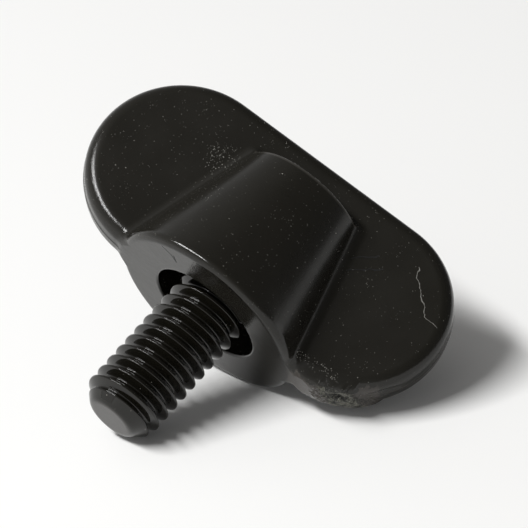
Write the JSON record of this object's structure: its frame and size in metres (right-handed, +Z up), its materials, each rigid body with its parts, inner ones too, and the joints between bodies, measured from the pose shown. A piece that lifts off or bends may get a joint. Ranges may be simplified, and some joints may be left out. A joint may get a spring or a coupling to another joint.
{
  "type": "wing screw",
  "caption": "Wing screw with a flat round-ended wing head, a tapered hub and a threaded stud standing in a round recess.",
  "frame": {"origin": "on the floor, under the middle of the bounding box", "axes": "+X along the wing's length, downhill at 26.9 degrees; +Z straight up from the floor; the stud points to the front (-Y) and down, 25.5 degrees below level, because the screw rests on the thread's first crest and the hub's near rim"},
  "size_m": [0.0272, 0.0228, 0.0184],
  "materials": {
    "head_moulding": "satin",
    "stud_steel": "gloss"
  },
  "bodies": {
    "root": {"wing_head": "head_moulding", "threaded_stud": "stud_steel"}
  },
  "joints": []
}
